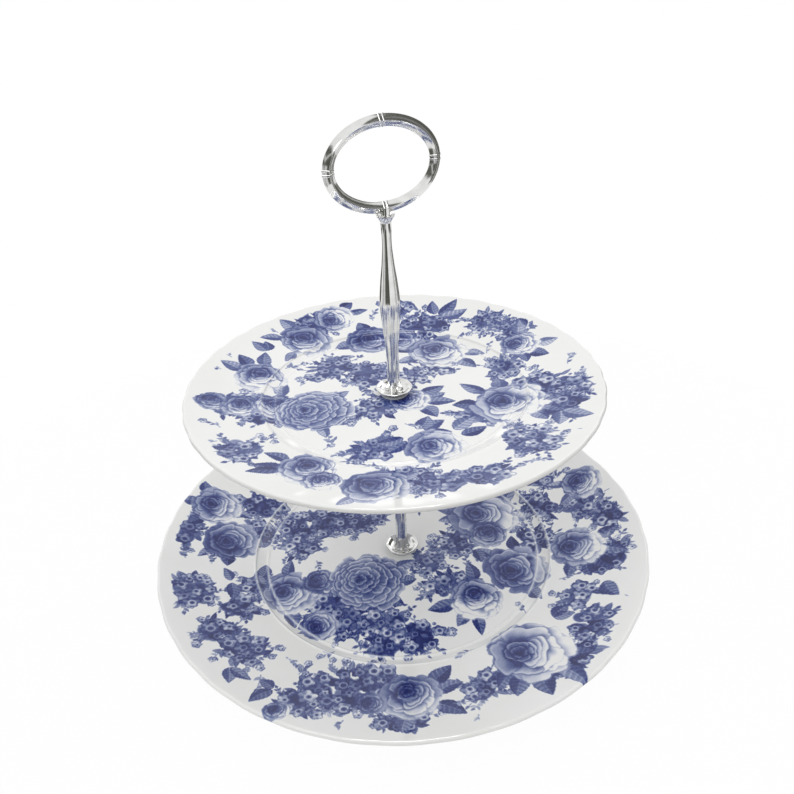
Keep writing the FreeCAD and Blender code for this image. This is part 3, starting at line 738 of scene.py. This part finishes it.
def plate_section(radius, depth, well, verge_rise, foot_height, foot):
    """(radius, height, points, on top, unglazed) down the plate from its hole, over
    the rim and back under it; heights are above the underside of the well."""
    edge = RIM_THICKNESS / 2
    rim_middle = radius + RIM_SPARE - edge
    verge = well + VERGE_WIDTH
    lip = [(verge, verge_rise), (verge + 0.5 * (radius - verge), verge_rise + 0.41 * (depth - verge_rise)),
           (rim_middle, depth)]

    def climb(at):
        """Level well, straight verge and curved lip, with the bends between rounded."""
        free = np.clip((rim_middle - at) / VERGE_ROUNDING, 0, 1)
        spread = np.linspace(-VERGE_ROUNDING, VERGE_ROUNDING, VERGE_SAMPLES)
        near = at[:, None] + np.outer(free, spread)
        slope = np.clip((near - well) / VERGE_WIDTH, 0, 1) * verge_rise
        return np.where(near < verge, slope, easy(lip, np.maximum(near, verge))).mean(1)

    def beads(at):
        """Rise of the fine lines."""
        return sum(rise * np.exp(-((at - middle) / VERGE_LINE_SPREAD) ** 2)
                   for middle, rise in raised_lines(well))

    section = []
    top = np.concatenate([
        np.linspace(HOLE_RADIUS + HOLE_ROUNDING, well - 2, int((well - HOLE_RADIUS) / 0.5)),
        np.linspace(well - 2, verge + 2, 48)[1:],
        np.linspace(verge + 2, rim_middle, int((rim_middle - verge - 2) / 0.5))[1:]])
    for r, z in zip(top, climb(top) + beads(top)):
        section.append((r, CHINA_THICKNESS + z, spokes(r), True, 0.0))
    edge_height = CHINA_THICKNESS + depth - edge
    for turn in np.linspace(80, -90, 12):
        angle = math.radians(turn)
        section.append((rim_middle + edge * math.cos(angle), edge_height + edge * math.sin(angle),
                        FINE, turn > 0, 0.0))
    thinning = RIM_THICKNESS - CHINA_THICKNESS
    back = np.linspace(rim_middle, well, 60)[1:]
    for r, z in zip(back, climb(back)):
        thick = CHINA_THICKNESS + thinning * max(0.0, (r - verge) / (rim_middle - verge))
        section.append((r, CHINA_THICKNESS + z - thick, MEDIUM, False, 0.0))
    # The foot ring: down its outer side, over the unglazed tread and up its inner side.
    side = [(3.0, 0.0, 0), (0.8, -0.05, 0), (0.15, -0.5, 0),
            (-0.7 * FOOT_TAPER, -0.75 * foot_height, 0), (-FOOT_TAPER, -foot_height + 0.45, 0),
            (-FOOT_TAPER - 0.12, -foot_height + 0.12, 1), (-FOOT_TAPER - 0.5, -foot_height, 1)]
    inner = foot - FOOT_RING_WIDTH
    for out, z, bare in side:
        section.append((foot + out, z, COARSE, False, float(bare)))
    for out, z, bare in side[::-1]:
        section.append((inner - out, z, COARSE, False, float(bare)))
    for r in np.linspace(inner - 6, HOLE_RADIUS + HOLE_ROUNDING, 14):
        section.append((r, 0.0, COARSE, False, 0.0))
    for off, z in ((0.06, 0.08), (0.0, 0.3), (0.0, CHINA_THICKNESS - 0.3), (0.06, CHINA_THICKNESS - 0.08)):
        section.append((HOLE_RADIUS + off, z, COARSE, False, 0.0))
    return section, rim_middle


def lay_out_bake(mesh, section, counts, faces, owner):
    """The bake's layout: the top as one disc, the rest as a small one beside it."""
    path = np.array([row[:2] for row in section])
    run = np.concatenate([[0.0], np.cumsum(np.hypot(*np.diff(path, axis=0).T))])
    last_top = max(i for i, row in enumerate(section) if row[3])
    from_hole = HOLE_RADIUS + run
    from_back = HOLE_RADIUS + 0.4 + run[-1] - run
    from_back[0] = HOLE_RADIUS
    turn = np.concatenate([circle(count) for count in counts])
    places = []
    for (u, v, size), distance in ((TOP_ISLAND, from_hole), (BASE_ISLAND, from_back)):
        reach = size * np.repeat(distance / distance[last_top + 1], counts)
        places.append(np.stack([u + reach * np.cos(turn), v + reach * np.sin(turn)], 1))
    corners = np.concatenate([group.ravel() for group in faces])
    corner_owner = np.concatenate([np.repeat(rows, group.shape[1]) for rows, group in zip(owner, faces)])
    layout = np.where((corner_owner <= last_top)[:, None], places[0][corners], places[1][corners])
    mesh.uv_layers.new(name="OFBake").data.foreach_set("uv", layout.astype(np.float32).ravel())


def make_plate(node, radius, depth, well, verge_rise, foot_height, foot, pattern, wear_and_highlight, body):
    """A printed plate with a hole, a raised verge, a fluted lip and a foot ring. Over the
    raised lines the print is drawn paler by a given share: partly print worn thin there, partly a painted
    highlight for the lines' glints."""
    base = span(node)[0][2] + foot_height
    section, rim_middle = plate_section(radius, depth, well, verge_rise, foot_height, foot)
    lip = well + VERGE_WIDTH + 0.35 * (rim_middle - well - VERGE_WIDTH)
    rings = []
    for r, z, count, _, _ in section:
        dip = (0.5 + 0.5 * np.cos(SCALLOPS * circle(count))) ** SCALLOP_POINT
        near_rim = ramp((r - (rim_middle - SCALLOP_REACH)) / SCALLOP_REACH)
        on_lip = ramp((r - lip) / (rim_middle - lip))
        rings.append(ring_points(r - SCALLOP_DEPTH * near_rim * dip,
                                 base + z - FLUTE_FALL * on_lip * dip, count))
    points, faces, owner = skin(rings, closed=True)
    mesh = make_piece(node + "_glazed", points, faces, body, "china", node)

    counts = [len(ring) for ring in rings]
    on_top = np.repeat([row[3] for row in section], counts)
    x, y = points[on_top, :2].T
    sheet = Sheet(x, y, np.zeros(len(x)), radius - SMALL_MOTIFS)
    print_pattern(sheet, **pattern)
    # Painted highlight, partly wear: the ink is thinned along both raised lines as if they glint, besides
    # the print wearing thin over them.
    for line, _ in raised_lines(well):
        away = sheet.away(0, 0) - line
        sheet.ink *= 1 - wear_and_highlight * np.exp(-(away / (1.5 * VERGE_LINE_SPREAD)) ** 2)
    ink = np.zeros(len(points))
    ink[on_top] = np.clip(sheet.ink, 0, 1)
    bare = np.repeat([row[4] for row in section], counts)
    for name, values in (("ink", ink), ("bare", bare)):
        layer = mesh.attributes.new(name, "FLOAT", "POINT")
        layer.data.foreach_set("value", values.astype(np.float32))
    lay_out_bake(mesh, section, counts, faces, owner)


# The share before the body pales the print over the raised lines: partly wear, partly painted highlight.
make_plate("lower_plate", 135.0, 18.5, 79.0, 2.9, 5.0, 70.0, LOWER_PATTERN, 0.75, "stand")
make_plate("upper_plate", 103.5, 10.0, 61.5, 2.0, 3.0, 53.0, UPPER_PATTERN, 0.35, "upper_tier")


# ---- posts ----
FLUTES = 8
POST_POINTS = 256
POST_END = 8.0                  # length of each end that has closer rings
FLUTE_DEPTH = 0.05              # as shares of the post's radius
END_FLUTE_DEPTH = 0.15
END_FLUTES = 5.5                # how far the deeper flutes reach from an end
STUD_BORE = (2.05, 12.0)        # (radius, depth) for each of the two studs
HANDLE_BORE = (1.25, 6.0)


def fluted(radius, depth):
    """A ring's radii with hollow flutes between softened edges."""
    turn = circle(POST_POINTS) * FLUTES / (2 * math.pi)
    across = 2 * (turn % 1.0) - 1
    width = math.pi / FLUTES
    chord = math.cos(width) / np.cos(across * width)
    hollow = chord - depth * (1 - across ** 2)
    worn = 0.012 * np.clip((abs(across) - 0.86) / 0.14, 0, 1) ** 2
    return radius * (hollow - worn)


def make_post(node, stations, foot_bore, top_bore, body):
    """A fluted baluster through (height, radius) stations, bored at both ends."""
    low, high = span(node)
    base, length = low[2], high[2] - low[2]
    outline = [(0, foot_bore[1]), foot_bore, (foot_bore[0], 0.2), (foot_bore[0] + 0.2, 0)]
    heights = np.concatenate([np.linspace(0, POST_END, 40),
                              np.linspace(POST_END, length - POST_END, 150)[1:],
                              np.linspace(length - POST_END, length, 40)[1:]])
    for height, radius in zip(heights, easy(stations, heights)):
        from_end = min(height, length - height)
        near_end = 1 - float(ramp(from_end / END_FLUTES))
        depth = FLUTE_DEPTH + (END_FLUTE_DEPTH - FLUTE_DEPTH) * near_end
        rounding = 1 - 0.05 * max(0.0, 1 - from_end / 0.35) ** 2
        outline.append((fluted(radius * rounding, depth), height))
    outline += [(top_bore[0] + 0.15, length), (top_bore[0], length - 0.15),
                (top_bore[0], length - top_bore[1]), (0, length - top_bore[1])]
    outline = [(radius, base + height) for radius, height in outline]
    turn_piece(node + "_fluted", outline, POST_POINTS, body, "chrome_plate", node, 35,
               start=math.pi / FLUTES)


make_post("upper_post", [(0, 4.85), (1.75, 3.95), (5, 3.2), (10, 3.05), (21.5, 3.1), (34, 4.1),
                         (47.4, 4.92), (58, 4.1), (67.2, 2.95), (77.6, 2.2), (86.2, 2.5)],
          STUD_BORE, HANDLE_BORE, "upper_stem")
make_post("lower_post", [(0, 4.85), (1.75, 3.95), (5, 3.2), (10, 3.05), (24.5, 3.1), (40, 4.2),
                         (53.9, 4.92), (66, 4.1), (76.4, 3.3), (93, 2.9), (96.25, 3.92), (98, 4.85)],
          STUD_BORE, STUD_BORE, "stand")


# ---- dishes ----
DISH_POINTS = 384
DISH_HEIGHT = 2.8               # of the drawn section, scaled to the node's own
DISH_WALL = ((2.3, 0.95), (4.4, 0.95), (5.4, 1.0), (6.0, 1.16), (6.7, 1.55), (7.4, 2.05),
             (8.1, 2.50), (8.6, 2.72), (8.95, 2.79), (9.2, 2.74), (9.36, 2.58), (9.38, 2.40),
             (9.25, 2.22), (8.9, 1.98), (8.1, 1.35), (7.3, 0.75), (6.6, 0.25), (6.1, 0.05),
             (5.6, 0.0), (2.3, 0.0))
LOBE_PINCH = 0.030              # how far a lobe draws the wall in, as a share of its radius
LOBE_CREST = 0.07               # and how far it lifts the inside


def make_dish(node, body, upside_down=False):
    """A pressed cup with eight lobes and a rolled edge."""
    low, high = span(node)
    base, height = low[2], high[2] - low[2]
    lobe = abs(np.cos(circle(DISH_POINTS) * FLUTES / 2)) ** 1.5
    outline = []
    for r, z in DISH_WALL:
        far = float(ramp((r - 4.6) / 3.4))
        inside = z >= 0.9 and r >= 5
        crest = inside * LOBE_CREST * lobe * far * (1 - 0.75 * float(ramp(r - 8.3)))
        rise = np.minimum(z * height / DISH_HEIGHT + crest, height)
        outline.append((r * (1 - LOBE_PINCH * far * lobe), base + (height - rise if upside_down else rise)))
    turn_piece(node + "_pressed", outline, DISH_POINTS, body, "chrome_plate", node, 50, closed=True)


make_dish("upper_dish", "post_carrier")
make_dish("lower_dish", "stand")
make_dish("seat_dish", "stand", upside_down=True)


# ---- threads ----
THREAD_POINTS = 48
THREAD_CHAMFER = 0.5


def make_thread(node, radius, pitch, body):
    """A threaded stud with chamfered ends."""
    low, high = span(node)
    turn = circle(THREAD_POINTS)
    outline = [(0, low[2])]
    for z in np.linspace(low[2], high[2], int((high[2] - low[2]) / pitch * 8)):
        wave = abs(2 * ((z / pitch - turn / (2 * math.pi)) % 1.0) - 1)
        cut = np.clip(1.35 * wave - 0.1, 0, 1) * 0.5 * pitch
        chamfer = max(0.0, THREAD_CHAMFER - min(z - low[2], high[2] - z))
        outline.append((np.minimum(radius - cut, radius - chamfer), z))
    outline.append((0, high[2]))
    turn_piece(node + "_threaded", outline, THREAD_POINTS, body, "steel", node, 50)


make_thread("joining_stud", 2.0, 0.7, "stand")
make_thread("handle_stud", 1.25, 0.45, "upper_stem")


# ---- collar ----
COLLAR_POINTS = 384
COLLAR_BORE = 1.32
COLLAR_FLOOR = 0.8
COLLAR_WALL = 0.45
PETAL_TIP = (2.5, 4.66)         # radius at the base and at the tip of a petal
PETAL_VALLEY = (2.35, 3.4)      # and between two petals


def make_collar():
    """A small flared cup with eight pointed petals."""
    low, high = span("handle_collar")
    base, height = low[2], high[2] - low[2]
    petal_share = abs(np.cos(circle(COLLAR_POINTS) * FLUTES / 2)) ** 1.3
    outside, inside = [], []
    for share in np.linspace(0, 1, 14):
        tip = PETAL_TIP[0] + (PETAL_TIP[1] - PETAL_TIP[0]) * share ** 1.5
        valley = PETAL_VALLEY[0] + (PETAL_VALLEY[1] - PETAL_VALLEY[0]) * share ** 1.2
        radius = valley + (tip - valley) * petal_share
        top = base + share * height * (1 - 0.22 * (1 - petal_share) * share ** 3)
        outside.append((radius, top))
        if share >= 0.22:
            back = np.minimum(np.maximum(top + 0.02, base + COLLAR_FLOOR), high[2])
            inside.append((radius - COLLAR_WALL * (1 - 0.4 * share), back))
    outline = [(COLLAR_BORE, base)] + outside + inside[::-1] + [(COLLAR_BORE, base + COLLAR_FLOOR)]
    turn_piece("handle_collar_petals", outline, COLLAR_POINTS, "handle_carrier", "chrome_plate",
               "handle_collar", 45, closed=True)


make_collar()


# ---- ring handle ----
RING_POINTS = 1440
RING_HALF_WIDTH = 25.1
RING_HALF_HEIGHT = 18.15
STRIP_HALF_WIDTH = 2.6
STRIP_HALF_DEPTH = 1.9
RING_TOP_SPARE = 0.35           # room over the strip for its beads
BEAD_RISE = 0.26
BEAD_LENGTH = 0.85
BEAD_STEP = 0.85                # middle of a bead from the middle of its pair
BEAD_GROOVE = 0.3               # width of the groove between the two
# Half of the strip's section, from the outer edge over the front ridge to the inner
# edge: two slightly hollow flats between softened edges.
STRIP_FLAT = [(1.0, 0.0), (0.985, 0.05), (0.93, 0.105), (0.70, 0.285), (0.40, 0.555), (0.12, 0.86),
              (0.045, 0.965), (0.0, 1.0)]
BOSS_POINTS = 96
BOSS_BORE = (1.3, 3.65)         # radius and depth
BOSS_OUTLINE = ((1.9, 0.0), (2.05, 0.12), (2.08, 0.9), (1.9, 1.05), (1.9, 1.25), (2.08, 1.4),
                (2.08, 2.4), (2.0, 3.0))
BOSS_OVERLAP = 0.6              # how far the boss reaches into the strip


def bead_rise(x, z):
    """How far the strip swells at points round the ring: four pairs of cast beads."""
    rise = np.zeros(len(x))
    for bx, bz in ((1, 0), (0, 1), (-1, 0), (0, -1)):
        away_x, away_z = x - bx * RING_HALF_WIDTH, z - bz * RING_HALF_HEIGHT
        along = away_z if bx else away_x
        near = np.hypot(away_x, away_z) < 4
        for side in (-1, 1):
            t = (along - side * BEAD_STEP) / (BEAD_LENGTH / 2)
            rise = np.maximum(rise, near * np.sqrt(np.clip(1 - t * t, 0, 1)))
        groove = np.exp(-(abs(along) / BEAD_GROOVE) ** 2) * near
        rise = rise - 0.5 * groove * (rise <= 0.01)
    return rise * BEAD_RISE


def make_ring():
    """Ridged strip bent into an oval, and the boss it stands on."""
    low, high = span("handle_ring")
    middle = high[2] - STRIP_HALF_WIDTH - RING_TOP_SPARE - RING_HALF_HEIGHT
    angle = circle(RING_POINTS)
    x, z = RING_HALF_WIDTH * np.cos(angle), RING_HALF_HEIGHT * np.sin(angle)
    out = np.stack([np.cos(angle) / RING_HALF_WIDTH, np.sin(angle) / RING_HALF_HEIGHT], 1)
    out /= np.linalg.norm(out, axis=1)[:, None]
    rise = bead_rise(x, z)
    front = STRIP_FLAT + [(-a, b) for a, b in STRIP_FLAT[-2::-1]]
    rings = []
    for a, b in front + [(a, -b) for a, b in front[-2:0:-1]]:
        reach = a * (STRIP_HALF_WIDTH + rise)
        rings.append(np.stack([x + out[:, 0] * reach, -b * (STRIP_HALF_DEPTH + rise),
                               middle + z + out[:, 1] * reach], 1))
    points, faces, _ = skin(rings, closed=True)
    make_piece("handle_ring_strip", points, faces, "handle", "chrome_plate", "handle_ring", 28)

    base, top = low[2], middle - RING_HALF_HEIGHT + BOSS_OVERLAP
    bore, bore_top = BOSS_BORE[0], base + BOSS_BORE[1]
    outline = [(0, bore_top), (bore, bore_top), (bore, base + 0.1), (bore + 0.1, base)]
    outline += [(radius, base + height) for radius, height in BOSS_OUTLINE] + [(1.9, top), (0, top)]
    turn_piece("handle_boss", outline, BOSS_POINTS, "handle", "chrome_plate", "handle_ring", 35)


make_ring()


# ---- nodes that keep their CAD shape ----
for kind, nodes in (("steel", ("base_screw", "base_washer")),
                    ("soft_plastic", ("base_bush", "lower_pad", "seat_bush", "upper_pad"))):
    for name in nodes:
        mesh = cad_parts[name].data
        mesh.materials.clear()
        mesh.materials.append(MATERIALS[kind])


# ---- stage ----
FLOOR_RADIUS = 0.34             # past it the room takes over, as white to the camera
FLOOR_DROP = 0.0002             # below the stand's foot
FLOOR_GLOW = 0.965              # how far it shows as plain white where it is seen


def grey(level):
    """A grey of a linear level."""
    return [level, level, level, 1.0]


def held(*levels):
    """Ramp stops that hold each (from, to, colour) and slide over to the next."""
    return [(place, colour if isinstance(colour, list) else grey(colour))
            for start, end, colour in levels for place in (start, end)]


# The room: shares of a turn round it, or of the way from level to straight up.
DARK = linear(92, 92, 86)
AMBIENT = 1.15
SKY = ((0.0, grey(0.16)), (0.25, grey(0.28)), (0.6, grey(0.72)), (1.0, grey(1.0)))
FLAG_LEAN = 0.2                 # how far the flags lean over at the top
LOW_FLAGS = held((0.0, 0.095, DARK), (0.103, 0.125, 0.75), (0.133, 0.245, DARK), (0.275, 0.475, 1.0),
                 (0.49, 0.515, DARK), (0.522, 0.53, 0.6), (0.537, 0.58, DARK), (0.60, 0.83, 1.0),
                 (0.85, 0.925, DARK), (0.935, 0.95, 0.9), (0.96, 1.0, DARK))
RIGHT_FLAGS = ((0.465, 0.495, DARK), (0.507, 0.53, 0.24), (0.542, 0.59, DARK))
MIDDLE_FLAGS = held((0.0, 0.03, 1.0), (0.05, 0.135, DARK), (0.141, 0.150, 0.7), (0.156, 0.20, DARK),
                    (0.225, 0.29, 1.0), (0.31, 0.37, DARK), (0.39, 0.445, 1.0), *RIGHT_FLAGS,
                    (0.61, 0.86, 1.0), (0.88, 0.96, DARK), (0.98, 1.0, 1.0))
HIGH_FLAGS = held((0.0, 0.445, 1.0), *RIGHT_FLAGS, (0.61, 1.0, 1.0))
ABOVE_LOW = held((0.0, 0.01, 0.0), (0.04, 1.0, 1.0))
ABOVE_MIDDLE = held((0.0, 0.46, 0.0), (0.54, 1.0, 1.0))
STRIP_HEIGHT = held((0.0, 0.075, 0.0), (0.085, 0.13, 1.0), (0.145, 1.0, 0.0))
STRIP_WIDTH = held((0.0, 0.56, 0.0), (0.60, 0.80, 1.0), (0.84, 1.0, 0.0))
STRIP_LIGHT = 2.0
CEILING = held((0.0, 0.92, 0.0), (0.945, 1.0, 1.0))
ZENITH = held((0.0, 0.951, 1.0), (0.955, 0.967, 0.14), (0.971, 0.977, 1.0), (0.981, 1.0, 11.0))


def make_floor():
    """A pale floor that shows as white where it is seen or mirrored."""
    bpy.ops.mesh.primitive_circle_add(vertices=96, radius=FLOOR_RADIUS, fill_type="NGON",
                                      location=(0, 0, -FLOOR_DROP))
    floor = bpy.context.object
    floor.name = "floor"
    paint = Paint("floor")
    paint.set(Base_Color=paint.tones(paint.noise(3, 2.0), (240, 240, 240), (244, 244, 244)), Roughness=0.9)
    rays = paint.node("LightPath").outputs
    seen = paint.math("MAXIMUM", rays["Is Camera Ray"], rays["Is Glossy Ray"])
    seen = paint.math("MAXIMUM", seen, rays["Is Transmission Ray"])
    blend = paint.mix_shader(paint.math("MULTIPLY", seen, FLOOR_GLOW), paint.shader.outputs["BSDF"],
                             paint.light("Emission", grey(1.0), 1.0))
    paint.put(blend, paint.tree.nodes["Material Output"].inputs["Surface"])
    floor.data.materials.append(paint.material)


def make_world():
    """Light that falls mostly from above. Metal and glaze mirror a white room with
    dark flags round it, which give the plating its dark bands."""
    world = bpy.data.worlds.new("studio")
    bpy.context.scene.world = world
    world.use_nodes = True
    room = Tree(world.node_tree)
    parts = room.node("SeparateXYZ", {0: room.node("TexCoord").outputs["Generated"]})
    height = parts.outputs["Z"]
    heading = room.math("ARCTAN2", parts.outputs["Y"], parts.outputs["X"])
    share = room.math("ADD", room.math("DIVIDE", heading, 2 * math.pi), 0.5)
    # The flags lean: their edges move round the room the higher they reach.
    rise = room.math("MAXIMUM", height, 0.0)
    lean = room.math("MULTIPLY", room.math("MULTIPLY", rise, rise), FLAG_LEAN)
    leaning = room.math("ADD", share, lean)
    mirrored = room.ramp(share, LOW_FLAGS)
    for above, colour in ((ABOVE_LOW, room.ramp(leaning, MIDDLE_FLAGS)),
                          (ABOVE_MIDDLE, room.ramp(leaning, HIGH_FLAGS)),
                          (CEILING, room.ramp(height, ZENITH))):
        mirrored = room.mix(room.ramp(height, above), mirrored, colour)
    # A long light low down behind the stand draws the thin lines along the china's bends.
    strip = room.math("MULTIPLY", room.ramp(height, STRIP_HEIGHT), room.ramp(share, STRIP_WIDTH))
    mirrored = room.mix(strip, mirrored, grey(STRIP_LIGHT))
    rays = room.node("LightPath").outputs
    lit = room.mix_shader(rays["Is Glossy Ray"], room.light("Background", room.ramp(height, SKY), AMBIENT),
                          room.light("Background", mirrored, 1.0))
    seen = room.mix_shader(rays["Is Camera Ray"], lit, room.light("Background", grey(1.0), 1.0))
    room.put(seen, room.tree.nodes["World Output"].inputs["Surface"])


def set_up(name, thing, matrix):
    """Puts a lamp or camera in the scene."""
    holder = bpy.data.objects.new(name, thing)
    holder.matrix_world = matrix
    bpy.context.scene.collection.objects.link(holder)
    return holder


LAMP_AIM = Vector((0, 0, 0.1))


def area_lamp(name, place, size, power):
    """A round softbox that looks at the stand."""
    lamp = bpy.data.lights.new(name, "AREA")
    lamp.shape = "DISK"
    lamp.size = size
    lamp.energy = power
    back = Vector(place) - LAMP_AIM
    set_up(name, lamp, Matrix.LocRotScale(place, back.to_track_quat("Z", "Y"), None))


make_floor()
make_world()
area_lamp("softbox_left", (-1.1, -0.5, 1.5), 1.0, 5.0)
area_lamp("softbox_right", (1.2, 0.6, 1.3), 0.9, 2.5)


# ---- camera ----
LENS = 32.6
SENSOR_WIDTH = 36.0
STAND_TURN = 24.0               # degrees; the ring handle's right end is further off
PAN, DIP, LEAN = 0.08, 31.03, -2.76
CAMERA_PLACE = (0.78, -314.42, 273.51)  # from the middle of the lower plate's rim


def rotation(degrees, axis):
    """A turn about an axis."""
    return Matrix.Rotation(math.radians(degrees), 4, axis)


def make_camera():
    """Where the picture was taken from."""
    camera = bpy.data.cameras.new("camera")
    camera.lens = LENS
    camera.sensor_width = SENSOR_WIDTH
    camera.clip_start = 0.01
    rim = Vector((0, 0, span("lower_plate")[1][2]))
    place = Matrix.Translation((Vector(CAMERA_PLACE) + rim) * MM)
    swing = rotation(-STAND_TURN, "Z")
    look = rotation(-PAN, "Z") @ rotation(90.0 - DIP, "X") @ rotation(LEAN, "Z")
    bpy.context.scene.camera = set_up("camera", camera, swing @ place @ look)


make_camera()
bpy.context.scene.view_settings.view_transform = "Standard"
